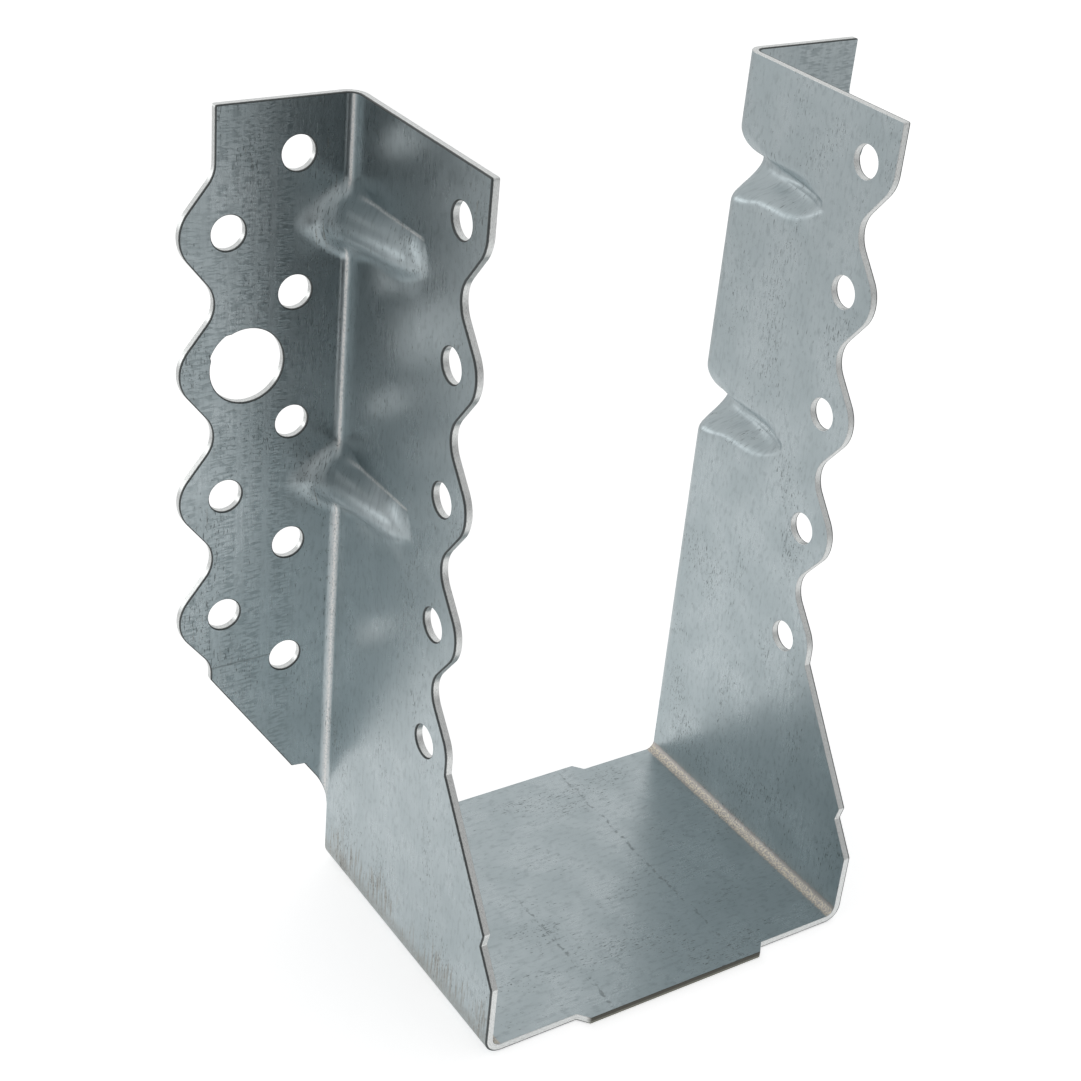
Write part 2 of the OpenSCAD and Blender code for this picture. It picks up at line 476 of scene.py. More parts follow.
@dataclass(frozen=True)
class Fold:
    """Turns points of the blank into points of the folded sheet, in millimetres.

    The press draws each bead down from a sharp die edge above its ridge and lets it run out
    softly below and on the flange. Its narrow nose leaves a groove in the skin that it pushes on.
    """

    blank: Blank
    upper: BeadFlank = BeadFlank(4.0, 0.35, 1.9, 2.7, full_rise=0.35, flange_h=4.4, softness=0.0)
    lower: BeadFlank = BeadFlank(4.8, 0.3, 1.6, 0.6, full_rise=2.4, flange_h=5.0, softness=0.95)
    ridge_r: float = 3.2
    ridge_corner: float = 4.9
    ridge_flange: float = 5.3
    ridge_leg: float = 32.0
    ridge_end: float = 19.6
    end_slope: float = 0.65
    end_round: float = 1.8
    corner_round: float = 3.0
    plate_runout: float = 0.5
    flange_runout: float = 2.6
    flare_length: float = 6.0
    flange_full_rise: float = 4.4
    plate_narrowing: float = 0.5
    flange_narrowing: float = 0.3
    foot_share: float = 0.42
    least_nose_r: float = 0.02
    steepest: float = 1.54
    groove_depth: float = 0.42
    groove_half: float = 1.0
    groove_h: float = 0.6
    groove_from: float = 3.0
    groove_start: float = 9.0
    groove_rise: float = 0.6
    fade_low: float = 9.8
    fade_high: float = 13.2

    def folded(self, u: Array, v: Array, w: Array) -> Array:
        """Places of blank points in the folded sheet.

        Args:
            u: Places along the strip.
            v: Places across the strip.
            w: Distances from the middle of the sheet towards its outer skin.

        Returns:
            Points with the seat's top at z = 0 and the header face at y = 0.
        """
        x, y, z = self.bent(u, v, w)
        for ridge_z in self.blank.sizes.bead_z():
            x, y = self.beaded(x, y, z, v, w, ridge_z)
        return np.stack([x, y, z], 1)

    def bent(self, u: Array, v: Array, w: Array) -> tuple[Array, ...]:
        """Bends the strip round its bottom bend and its vertical bend."""
        s, blank = self.blank.sizes, self.blank
        turn = np.clip((u - blank.bend_start) / s.mid_r, 0, math.pi / 2)
        rest = np.maximum(u - blank.bend_start - blank.bend_length, 0)
        x = np.where(turn > 0, blank.bend_start + (s.mid_r + w) * np.sin(turn), u)
        z = s.bend_r - (s.mid_r + w) * np.cos(turn) + rest
        share = smooth_step((z - self.fade_low) / (self.fade_high - self.fade_low))
        beyond = np.maximum(s.bend_out_r - v, 0)
        angle = np.minimum(beyond / s.mid_r, share * math.pi / 2)
        straight = beyond - s.mid_r * angle
        radius = s.mid_r - w
        x = x + radius * (1 - np.cos(angle)) + straight * np.sin(angle)
        folded_y = -s.bend_out_r + radius * np.sin(angle) + straight * np.cos(angle)
        return x, np.where(beyond > 0, folded_y, -v), z

    def beaded(
        self, x: Array, y: Array, z: Array, v: Array, w: Array, ridge_z: float
    ) -> tuple[Array, Array]:
        """Presses one bead across the vertical bend.

        Args:
            x: Distances from the middle of the hanger.
            y: Places along the joist.
            z: Heights above the seat.
            v: Places across the strip.
            w: Distances from the middle of the sheet towards its outer skin.
            ridge_z: Height of the bead's ridge.

        Returns:
            The pressed x and y.
        """
        s = self.blank.sizes
        top = s.sheet_t / 2 - w
        press = math.sqrt(0.5)
        turn = math.atan2(self.ridge_corner, self.ridge_leg)
        from_plate = (s.outer_x + self.ridge_corner - x) * math.cos(turn)
        from_plate += (y + s.sheet_t) * math.sin(turn) - top
        from_flange = (s.outer_x + self.ridge_flange - x + y + s.sheet_t) * press - top
        slant = press * (math.cos(turn) + math.sin(turn))
        on_flange = smooth_step((s.bend_out_r - v) / self.blank.bend_length)
        runout = between(self.plate_runout, self.flange_runout, on_flange)
        rise = smooth_max(from_plate / slant, from_flange, self.corner_round)
        rise = smooth_max(rise, 0.0, runout)
        end = (y + s.sheet_t + self.ridge_end) * self.end_slope
        end = smooth_max(end, 0.0, self.end_round)
        rise = (np.maximum(rise, FLAT) ** -3 + np.maximum(end, FLAT) ** -3) ** (-1 / 3)
        slant = between(slant, 1, on_flange)
        rise = rise * slant
        flare = smooth_step(1 + (y + s.bend_out_r) / self.flare_length)
        height = z - ridge_z
        depth = np.where(
            height > 0,
            self.section(height, rise, top, self.upper, flare, on_flange),
            self.section(-height, rise, top, self.lower, flare, on_flange),
        )
        groove = np.clip(1 - ((height - self.groove_h) / self.groove_half) ** 2, 0, 1) ** 1.5
        begun = smooth_step((-y - self.groove_from) / self.groove_start)
        groove = groove * begun * smooth_step(rise / self.groove_rise) * top / s.sheet_t
        shift = (rise - depth + groove * self.groove_depth) / slant * press
        return x + shift, y - shift

    def section(
        self,
        height: Array,
        rise: Array,
        top: Array,
        flank: BeadFlank,
        flare: Array,
        on_flange: Array,
    ) -> Array:
        """Depth of a bead's skin below its crown: a round nose, a straight flank, a round foot.

        Args:
            height: Distances from the ridge.
            rise: How far the crown stands above the flat sheet.
            top: How far this skin lies below the outer one.
            flank: The side of the bead.
            flare: How near the vertical bend lies, from 0 to 1.
            on_flange: How far round the vertical bend the sheet is, from 0 to 1.

        Returns:
            Depths below the crown.
        """
        foot_r = flank.foot_r + flank.corner_r * flare
        full_rise = between(flank.full_rise, self.flange_full_rise, on_flange)
        edge_h = between(flank.edge_h, flank.flange_h, on_flange) + flank.corner_h * flare
        narrowing = between(self.plate_narrowing, self.flange_narrowing, on_flange)
        edge_h = edge_h * np.minimum(rise / full_rise, 1) ** narrowing
        room = (edge_h**2 + rise**2) / (2 * np.maximum(rise, FLAT))
        foot_r = np.minimum(foot_r, np.maximum(room * self.foot_share, room - self.ridge_r))
        ridge_r = np.minimum(self.ridge_r, room - foot_r)
        radii = ridge_r + foot_r
        across = rise - radii
        reach = np.hypot(edge_h, across)
        lean = np.arctan2(across, edge_h) + np.arcsin(np.minimum(radii / reach, 1))
        nose_r = np.maximum(ridge_r - top, self.least_nose_r)
        foot_r = foot_r + top
        nose_h, nose_d = nose_r * np.sin(lean), nose_r * (1 - np.cos(lean))
        foot_h = edge_h - foot_r * np.sin(lean)
        nose = nose_r - np.sqrt(np.maximum(nose_r**2 - np.minimum(height, nose_h) ** 2, 0))
        line = nose_d + (height - nose_h) * np.tan(np.minimum(lean, self.steepest))
        foot = np.sqrt(np.maximum(foot_r**2 - (edge_h - height) ** 2, 0)) + rise - foot_r
        depth = np.where(height > nose_h, line, nose)
        depth = np.where(height > foot_h, foot, depth)
        share = np.minimum(height / np.maximum(edge_h, FLAT), 1)
        swelling = rise * (1 - (1 - share**2) ** 3)
        depth = between(depth, swelling, np.maximum(on_flange, flank.softness))
        return np.where(height >= edge_h, rise, np.minimum(depth, rise))

    def frame_at(self, u: Array, v: Array, w: Array) -> tuple[Array, Array, Array]:
        """Directions along the folded skin.

        Args:
            u: Places along the strip.
            v: Places across the strip.
            w: Distances from the middle of the sheet.

        Returns:
            The unit normal towards the outer skin, and how the point moves with u and with v.
        """
        step = 0.02
        along = (self.folded(u + step, v, w) - self.folded(u - step, v, w)) / (2 * step)
        across = (self.folded(u, v + step, w) - self.folded(u, v - step, w)) / (2 * step)
        normal = np.cross(along, across)
        normal /= np.linalg.norm(normal, axis=1, keepdims=True)
        return normal, along, across


def between(a: Array | float, b: Array | float, share: Array) -> Array:
    """The value that lies a share of the way from a to b."""
    return a + (b - a) * share


def smooth_step(t: Array) -> Array:
    """0 below 0, 1 above 1 and an even swing between."""
    t = np.clip(t, 0, 1)
    return t * t * (3 - 2 * t)


def smooth_max(a: Array, b: Array | float, blend: Array | float) -> Array:
    """The higher of two heights, with their meeting rounded over the blend distance."""
    share = np.clip(0.5 + 0.5 * (a - b) / blend, 0, 1)
    return between(b, a, share) + blend * share * (1 - share)


# ---- The folded sheet as a mesh ------------------------------------------------------------


class Face(Enum):
    """The two finishes of the sheet, in the order of its material slots."""

    SKIN = 0
    SHEARED = 1


@dataclass
class RightHalf:
    """Mesh of the right half of the sheet, while it is being put together."""

    places: list[Array] = field(default_factory=list)
    normals: list[Array] = field(default_factory=list)
    blanks: list[Array] = field(default_factory=list)
    faces: list[tuple[int, ...]] = field(default_factory=list)
    finishes: list[int] = field(default_factory=list)
    count: int = 0

    def add_points(self, places: Array, normals: Array, blanks: Array) -> int:
        """Adds points and returns the number of the first one."""
        self.places.append(places)
        self.normals.append(normals)
        self.blanks.append(blanks)
        self.count += len(places)
        return self.count - len(places)

    def add_face(self, corners: tuple[int, ...], finish: Face) -> None:
        """Adds one face with its finish."""
        self.faces.append(corners)
        self.finishes.append(finish.value)


@dataclass
class FoldedSheet:
    """The whole hanger: one sheet with two skins and a sheared edge all round.

    The shear rolls the sheet over a little on its outer skin and leaves a keener arris on its
    inner one.
    """

    sizes: SheetSizes
    rollover: float = 0.16
    arris: float = 0.07
    mitre_limit: float = 0.35
    name: str = "folded_sheet"

    def build(self, origin: Vector) -> bpy.types.Object:
        """Makes the sheet's mesh.

        Args:
            origin: Place of the seat's top on the header plane, in metres.

        Returns:
            The object, without its finishes.
        """
        blank = Blank(self.sizes)
        fold = Fold(blank)
        half = RightHalf()
        rim = blank.edge()
        outer = np.vstack([rim, blank.middle_line()])
        loops = [outer[::-1]] + blank.holes()
        grid = blank.grid()
        grid = grid[depth_inside(grid, loops) > blank.clearance]
        flat = np.vstack(loops + [grid])
        out = self.outward(loops, len(grid), len(rim))
        triangles = self.triangles(flat, loops)
        half_t = self.sizes.sheet_t / 2
        skins = {}
        for w, inset in ((half_t, self.rollover), (-half_t, self.arris)):
            points = flat - out * inset
            skins[w] = self.add_sheet_points(half, fold, points, np.full(len(flat), w))
            flip = w < 0
            for a, b, c in (triangles + skins[w]).tolist():
                half.add_face((c, b, a) if flip else (a, b, c), Face.SKIN)
        first = 0
        for loop in loops:
            whole = first > 0
            numbers = np.arange(first, first + len(loop))
            if not whole:
                numbers = numbers[len(loop) - len(rim) :]
            self.add_edge(half, fold, flat, out, numbers, skins, whole)
            first += len(loop)
        return self.mirrored(half, origin)

    def triangles(self, flat: Array, loops: list[Array]) -> Array:
        """Triangles that fill the blank, anticlockwise in (u, v)."""
        edges = []
        first = 0
        for loop in loops:
            count = len(loop)
            edges += [(first + i, first + (i + 1) % count) for i in range(count)]
            first += count
        made = delaunay_2d_cdt([Vector(p) for p in flat], edges, [], 1, TINY, True)
        if len(made[0]) != len(flat):
            raise ValueError("the blank's edge crosses itself")
        found = np.array([[made[3][i][0] for i in face] for face in made[2]])
        inside = depth_inside(flat[found].mean(1), loops) > 0
        found = found[inside]
        a, b, c = flat[found[:, 0]], flat[found[:, 1]], flat[found[:, 2]]
        area = (b - a)[:, 0] * (c - a)[:, 1] - (b - a)[:, 1] * (c - a)[:, 0]
        found[area < 0] = found[area < 0][:, ::-1]
        return found

    def outward(self, loops: list[Array], inner_count: int, rim_count: int) -> Array:
        """Directions across the sheared edge, away from the sheet.

        Args:
            loops: The outer loop and the holes.
            inner_count: Number of points that lie on no edge.
            rim_count: Number of points of the outer loop that are sheared.

        Returns:
            One direction for each point of the blank, zero where nothing is sheared.
        """
        out = []
        for number, loop in enumerate(loops):
            before = loop - np.roll(loop, 1, axis=0)
            after = np.roll(loop, -1, axis=0) - loop
            if number == 0:
                first, last = len(loop) - rim_count, len(loop) - 1
                before[first] = after[first]
                after[last] = before[last]
            sides = []
            for along in (before, after):
                along = along / np.linalg.norm(along, axis=1, keepdims=True)
                sides.append(np.stack([along[:, 1], -along[:, 0]], 1))
            mean = sides[0] + sides[1]
            mean /= np.maximum((mean * sides[0]).sum(1, keepdims=True), self.mitre_limit)
            if number == 0:
                mean[:first] = 0
                mean[[first, last], 0] = 0
            out.append(mean)
        out.append(np.zeros((inner_count, 2)))
        return np.vstack(out)

    def add_sheet_points(self, half: RightHalf, fold: Fold, flat: Array, w: Array) -> int:
        """Adds points of a skin, folded, with their normals."""
        u, v = flat[:, 0], flat[:, 1]
        normal, _, _ = fold.frame_at(u, v, w)
        normal *= np.sign(w)[:, None]
        return half.add_points(fold.folded(u, v, w), normal, np.stack([u, v, w], 1))

    def add_edge(
        self,
        half: RightHalf,
        fold: Fold,
        flat: Array,
        out: Array,
        numbers: Array,
        skins: dict[float, int],
        closed: bool,
    ) -> None:
        """Adds the sheared face along one loop, between the two skins.

        Args:
            half: The mesh to add to.
            fold: How the blank folds.
            flat: Points of the blank.
            out: Outward directions at those points.
            numbers: Which of them the edge runs along.
            skins: First point of each skin, by its distance from the middle of the sheet.
            closed: Whether the edge closes on itself.
        """
        half_t = self.sizes.sheet_t / 2
        u, v = flat[numbers, 0], flat[numbers, 1]
        rings = [skins[half_t] + numbers]
        for level in (half_t - self.rollover, -half_t + self.arris):
            w = np.full(len(numbers), level)
            _, along, across = fold.frame_at(u, v, w)
            normal = along * out[numbers, :1] + across * out[numbers, 1:]
            normal /= np.linalg.norm(normal, axis=1, keepdims=True)
            first = half.add_points(fold.folded(u, v, w), normal, np.stack([u, v, w], 1))
            rings.append(first + np.arange(len(numbers)))
        rings.append(skins[-half_t] + numbers)
        last = len(numbers) if closed else len(numbers) - 1
        for ring, below in zip(rings, rings[1:]):
            for i in range(last):
                j = (i + 1) % len(numbers)
                half.add_face((ring[i], below[i], below[j], ring[j]), Face.SHEARED)

    def mirrored(self, half: RightHalf, origin: Vector) -> bpy.types.Object:
        """Joins the half to its mirror image along the middle of the seat.

        Args:
            half: The right half.
            origin: Where its zero point goes, in metres.

        Returns:
            The whole sheet as one object.
        """
        places = np.vstack(half.places)
        normals = np.vstack(half.normals)
        blanks = np.vstack(half.blanks)
        middle = np.abs(places[:, 0]) < TINY
        normals[middle, 0] = 0
        twins = np.where(middle, np.arange(len(places)), 0)
        twins[~middle] = len(places) + np.arange((~middle).sum())
        flip = np.array([-1, 1, 1])
        places = np.vstack([places, places[~middle] * flip])
        normals = np.vstack([normals, normals[~middle] * flip])
        blanks = np.vstack([blanks, blanks[~middle] * flip])
        faces = half.faces + [tuple(int(twins[i]) for i in face[::-1]) for face in half.faces]
        mesh = bpy.data.meshes.new(self.name)
        mesh.from_pydata((places * MM + np.array(origin)).tolist(), [], faces)
        mesh.polygons.foreach_set("material_index", half.finishes * 2)
        attribute = mesh.attributes.new(BLANK_ATTRIBUTE, "FLOAT_VECTOR", "POINT")
        attribute.data.foreach_set("vector", (blanks * MM).astype(np.float32).ravel())
        mesh.polygons.foreach_set("use_smooth", [True] * len(faces))
        mesh.normals_split_custom_set_from_vertices(normals.tolist())
        mesh.validate(clean_customdata=False)
        return add_object(self.name, mesh)


def add_object(name: str, data: bpy.types.ID) -> bpy.types.Object:
    """Puts a new object into the scene."""
    made = bpy.data.objects.new(name, data)
    bpy.context.scene.collection.objects.link(made)
    return made


# ---- Finishes ------------------------------------------------------------------------------


def linear(colour: str) -> tuple[float, float, float, float]:
    """Linear colour of an sRGB hex value.

    Args:
        colour: Six hex digits after a hash.

    Returns:
        Red, green, blue and an alpha of 1.
    """
    parts = []
    for start in (1, 3, 5):
        value = int(colour[start : start + 2], 16) / 255
        parts.append(value / 12.92 if value <= 0.04045 else ((value + 0.055) / 1.055) ** 2.4)
    return (*parts, 1.0)


def add_node(
    tree: Tree, kind: str, inputs: dict[Any, Any] | None = None, **settings: Any
) -> bpy.types.Node:
    """Adds a node with its settings and its inputs.

    Args:
        tree: Node tree to add it to.
        kind: Type name of the node.
        inputs: Values, sockets or levels for its inputs, by name or number.
        settings: Its own settings.

    Returns:
        The node.
    """
    made = tree.nodes.new(kind)
    for name, value in settings.items():
        setattr(made, name, value)
    for name, value in (inputs or {}).items():
        value = getattr(value, "socket", value)
        if isinstance(value, Socket):
            tree.links.new(value, made.inputs[name])
        else:
            made.inputs[name].default_value = value
    return made


def new_material(name: str) -> tuple[bpy.types.Material, Tree]:
    """An empty node material and its tree."""
    material = bpy.data.materials.new(name)
    material.use_nodes = True
    material.node_tree.nodes.clear()
    return material, material.node_tree


def surface(tree: Tree, kind: str, inputs: dict[Any, Any]) -> None:
    """Gives a material its shader."""
    shader = add_node(tree, kind, inputs)
    add_node(tree, "ShaderNodeOutputMaterial", {"Surface": shader.outputs[0]})


def layered(tree: Tree, base: str, layers: list[tuple["Level", Any]]) -> Socket:
    """Lays colours over one another.

    Args:
        tree: Node tree to add to.
        base: Lowest colour.
        layers: Share and colour of each layer, from the lowest up.

    Returns:
        The colour that shows.
    """
    colour = linear(base)
    for share, shade in layers:
        shade = linear(shade) if isinstance(shade, str) else shade
        inputs = {0: share, 6: colour, 7: shade}
        colour = add_node(tree, "ShaderNodeMix", inputs, data_type="RGBA").outputs[2]
    return colour


@dataclass(frozen=True)
class Level:
    """A number that varies over a surface, such as a noise or a mask, with plain arithmetic."""

    tree: Tree
    socket: Socket

    def combined(self, operation: str, *others: Any) -> "Level":
        """This level put through one step of arithmetic with others."""
        inputs = dict(enumerate((self, *others)))
        made = add_node(self.tree, "ShaderNodeMath", inputs, operation=operation)
        return Level(self.tree, made.outputs[0])

    def __mul__(self, other: Any) -> "Level":
        """The product."""
        return self.combined("MULTIPLY", other)

    def __add__(self, other: Any) -> "Level":
        """The sum."""
        return self.combined("ADD", other)

    def __sub__(self, other: Any) -> "Level":
        """The difference."""
        return self.combined("SUBTRACT", other)

    def __or__(self, other: Any) -> "Level":
        """The higher of the two, which joins two masks."""
        return self.combined("MAXIMUM", other)

    def swing(self, low: float, high: float, first: float = 0.0, last: float = 1.0) -> "Level":
        """A smooth swing between two levels.

        Args:
            low: Value at which it starts.
            high: Value at which it ends, which may be the lower one.
            first: Level where it starts.
            last: Level where it ends.

        Returns:
            The new level.
        """
        inputs = {0: self, 1: low, 2: high, 3: first, 4: last}
        kind = "ShaderNodeMapRange"
        made = add_node(self.tree, kind, inputs, interpolation_type="SMOOTHSTEP")
        return Level(self.tree, made.outputs[0])

    def band(self, line: float, shape: Triple) -> "Level":
        """A band beside a line.

        Args:
            line: Value on the line.
            shape: How far off it the band's middle lies, half the band's full width, and the
                width of each soft border outside that.

        Returns:
            1 in the band and 0 outside.
        """
        off, half, soft = shape
        return (self - (line + off)).combined("ABSOLUTE").swing(half, half + soft, 1.0, 0.0)


@dataclass(frozen=True)
class Noise:
    """A noise: its marks' lengths along and across the strip in millimetres, how many finer
    layers it has, how far off in the endless noise it lies, and the swing that picks its marks."""

    along: float
    across: float
    detail: float
    shift: float = 0.0
    swing: Swing = (0.0, 1.0)


@dataclass
class BlankPattern:
    """Patterns drawn on the flat blank, so that they follow the sheet round its bends.

    Lengths are in millimetres. The two skins lie skin_gap apart in every noise, so that their
    marks differ.
    """

    tree: Tree
    sizes: SheetSizes
    skin_gap: float = 40.0
    skin_border: float = 0.2
    noise_roughness: float = 0.55

    def __post_init__(self) -> None:
        """Reads the place on the blank.

        signed runs along the strip from the middle of the seat and along is its distance,
        across runs from the header face to the front, and through is -1 on the inner skin and 1
        on the outer one.
        """
        kind = "ShaderNodeAttribute"
        settings = {"attribute_name": BLANK_ATTRIBUTE, "attribute_type": "GEOMETRY"}
        self.place = add_node(self.tree, kind, **settings).outputs["Vector"]
        parts = add_node(self.tree, "ShaderNodeSeparateXYZ", {0: self.place}).outputs
        self.signed = Level(self.tree, parts[0]) * (1 / MM)
        self.along = self.signed.combined("ABSOLUTE")
        self.across = Level(self.tree, parts[1]) * (1 / MM)
        self.through = Level(self.tree, parts[2]) * (2 / self.sizes.sheet_t / MM)
        self.outer_skin = self.through.swing(-self.skin_border, self.skin_border)
        self.inner_skin = self.through.swing(self.skin_border, -self.skin_border)

    def noise(self, noise: Noise) -> Level:
        """A noise as a level round 0.5."""
        gap = self.skin_gap / self.sizes.sheet_t
        spread = tuple(scale / MM for scale in (1 / noise.along, 1 / noise.across, gap))
        shift = (noise.shift, noise.shift * 0.7, noise.shift)
        inputs = {0: self.place, 1: spread, 2: shift}
        place = add_node(self.tree, "ShaderNodeVectorMath", inputs, operation="MULTIPLY_ADD")
        inputs = {
            "Vector": place.outputs[0],
            "Scale": 1.0,
            "Detail": noise.detail,
            "Roughness": self.noise_roughness,
        }
        return Level(self.tree, add_node(self.tree, "ShaderNodeTexNoise", inputs).outputs[0])

    def marks(self, noise: Noise) -> Level:
        """The marks that a noise's swing picks out of it."""
        return self.noise(noise).swing(*noise.swing)


@dataclass(frozen=True)
class Coat:
    """Colour that a coat gives the sheet, such as a mark, worn zinc, a painted highlight or painted
    glints, and how much rougher than the sheet it is.
    """

    colour: str
    rougher: float = 0.0


@dataclass(frozen=True)
class GalvanisedSheet:
    """Hot-dip galvanised steel sheet, skin-passed between rolls.

    The rolls flatten the zinc's spangle into a soft grey sheen with cloudy patches and fine
    marks along the strip. Handling leaves dark dashes and specks, and the press scuffs the zinc
    pale inside the bottom bend and warm grey where it drags over the die. Down the vertical
    bend and along the beads' creases, where the die rubs the zinc rougher, a pale line is
    painted highlight, and grains of crushed zinc inside the bottom bend are painted pale as
    glints.

    A swing gives the values between which a mark starts and is full and, where these aren't 0
    and 1, the levels there. A band lies off a line of the blank, as Level.band says.
    """

    sizes: SheetSizes
    zinc_deep: str = "#b2bdc0"
    zinc_light: Coat = Coat("#bcc6c9")
    mottled: Coat = Coat("#a4aeb1")
    streaked: Coat = Coat("#98a3a6")
    # Painted highlight: a near-white line down the vertical bend and along the beads' creases, on
    # zinc that the die rubs rougher
    rubbed_highlight: Coat = Coat("#ebeae8", 0.16)
    dragged: Coat = Coat("#9a948b", 0.22)
    crushed: Coat = Coat("#c0bcb9", 0.25)
    # Painted glints: pale grains of crushed zinc in a stripe inside the bottom bend
    glinting_grains: Coat = Coat("#e6dfce")
    marked: Coat = Coat("#666b6b", 0.2)
    roughness_cloud: Swing = (0.3, 0.7, 0.32, 0.28)
    roughness_streak: Swing = (0.4, 0.7, -0.02, 0.05)
    stretched_roughness: float = 0.13
    relief_strength: float = 0.22
    relief_height: float = 0.00006
    mark_relief: float = -1.2
    streak_relief: float = 0.45
    chatter_relief: float = 1.4
    # Grain, specks, dashes and crumbs of crushed zinc are a tenth of a millimetre or less on the
    # real sheet. That is too fine to show, so they are drawn as coarse as they need to.
    cloud: Noise = Noise(9.0, 9.0, 3.0, 0.0, (0.34, 0.66))
    patch: Noise = Noise(16.2, 9.0, 2.0, 11.0)
    mottle: Noise = Noise(1.5, 0.8, 3.0, 29.0, (0.48, 0.72, 0.0, 0.75))
    streak: Noise = Noise(4.5, 0.36, 3.0, 3.0, (0.54, 0.8, 0.0, 0.45))
    grain: Noise = Noise(0.4, 0.4, 2.0, 5.0)
    dash: Noise = Noise(1.2, 0.26, 1.0, 7.0, (0.68, 0.78))
    speck: Noise = Noise(0.36, 0.36, 1.0, 9.0, (0.71, 0.8))
    crowd: Swing = (0.36, 0.7, -0.05, 0.09)
    mark_share: float = 0.7
    chatter_dash: Noise = Noise(0.42, 1.9, 1.0, 13.0, (0.44, 0.62))
    chatter_column: Noise = Noise(45.0, 2.0, 1.0, 17.0, (0.36, 0.56, 0.15, 1.0))
    chatter_across: Swing = (-4.0, -9.0)
    chatter_share: float = 0.8
    scuff_wander: Noise = Noise(9.0, 5.0, 2.0, 43.0)
    scuff_sway: float = 2.4
    scuff_crumbs: Noise = Noise(0.8, 0.9, 2.0, 41.0, (0.5, 0.6))
    scuff_share: float = 0.65
    long_scuff: Triple = (12.6, 0.12, 0.3)
    short_scuff: Triple = (-11.5, 0.12, 0.4)
    short_scuff_across: Swing = (22.0, 30.0)
    scribed_z: float = 41.0
    scribed_line: Triple = (0.0, 0.05, 0.16)
    scribed_across: Swing = (-2.0, -6.0, 0.0, 0.6)
    drag: Noise = Noise(6.0, 0.55, 4.0, 21.0)
    drag_patches: float = 0.5
    drag_swing: Swing = (0.7, 0.86, 0.0, 0.75)
    drag_thinning: Swing = (-1.0, 13.0, 0.0, 0.24)
    drag_start: Swing = (-6.5, -4.0)
    brushed_swing: Swing = (0.4, 2.6, 0.45, 0.0)
    rubbed_highlight_grain: Swing = (0.36, 0.56, 0.35, 1.0)
    dragged_grain: Swing = (0.3, 0.6, 0.4, 1.0)
    crumbs: Noise = Noise(0.4, 0.4, 2.0, 31.0, (0.44, 0.56, 0.0, 0.95))
    crushed_band: Triple = (0.8, 1.3, 0.35)
    crushed_raggedness: float = 1.6
    # Stripe of painted glints inside the bottom bend
    glint_band: Triple = (-0.35, 0.7, 0.6)
    stretch_band: Triple = (-0.5, 3.0, 2.5)
    stretch_across: tuple[Swing, Swing] = ((-9.0, -5.0), (22.0, 19.0))
    # Painted highlight down the vertical bend: a thin line and a broader band that grows lower
    # down, starting above the bottom and breaking off at the beads' ridges
    bend_highlight_line: Triple = (0.0, 0.12, 0.35)
    bend_highlight_broad: Triple = (0.1, 0.5, 0.6)
    bend_highlight_broad_z: Pair = (78.0, 58.0)
    bend_highlight_broad_share: float = 0.5
    bend_highlight_start_z: Pair = (8.0, 14.0)
    highlight_gap_at_ridges: Triple = (0.3, 3.6, 1.6)
    # Painted highlight along each bead's upper crease
    crease_highlight_band: Triple = (3.95, 0.1, 0.22)
    crease_highlight_across: tuple[Swing, Swing] = ((3.0, 8.0, 0.0, 0.8), (21.4, 20.4))

    def material(self) -> bpy.types.Material:
        """The finish as a material."""
        material, tree = new_material("galvanised_steel_skin_passed")
        pattern = BlankPattern(tree, self.sizes)
        cloud, streak = pattern.noise(self.cloud), pattern.noise(self.streak)
        patch, grain = pattern.noise(self.patch), pattern.noise(self.grain)
        chatter, marks = self.chatter(pattern), self.marks(pattern, patch)
        # Painted highlight on the rubbed outer skin, broken up by grain
        rubbed_highlight = self.rub_highlight(pattern) * pattern.outer_skin * grain.swing(*self.rubbed_highlight_grain)
        # Crushed zinc inside the bottom bend, and its grains painted pale as glints
        crushed, glinting_grains = self.crushing(pattern)
        coats = [
            (cloud.swing(*self.cloud.swing), self.zinc_light),
            (pattern.marks(self.mottle), self.mottled),
            (streak.swing(*self.streak.swing), self.streaked),
            (chatter * self.chatter_share, self.streaked),
            (rubbed_highlight, self.rubbed_highlight),
            (self.dragging(pattern, grain, patch), self.dragged),
            (crushed, self.crushed),
            (glinting_grains, self.glinting_grains),
            (marks, self.marked),
        ]
        colour = layered(tree, self.zinc_deep, [(share, coat.colour) for share, coat in coats])
        rough = cloud.swing(*self.roughness_cloud) + streak.swing(*self.roughness_streak)
        rough = rough + self.stretch(pattern) * self.stretched_roughness
        for share, coat in coats:
            if coat.rougher:
                rough = rough + share * coat.rougher
        relief = grain + marks * self.mark_relief
        relief = relief + streak * self.streak_relief + chatter * self.chatter_relief
        inputs = {"Strength": self.relief_strength, "Distance": self.relief_height}
        bump = add_node(tree, "ShaderNodeBump", inputs | {"Height": relief})
        inputs = {"Base Color": colour, "Metallic": 1.0, "Roughness": rough}
        inputs["Normal"] = bump.outputs[0]
        surface(tree, "ShaderNodeBsdfPrincipled", inputs)
        return material

    def marks(self, pattern: BlankPattern, patch: Level) -> Level:
        """Dark dashes along the strip and specks, thicker in some patches, and the scuffs."""
        crowd = patch.swing(*self.crowd)
        small = [(pattern.noise(n) + crowd).swing(*n.swing) for n in (self.dash, self.speck)]
        return reduce(Level.__or__, small, self.scuffs(pattern)) * self.mark_share

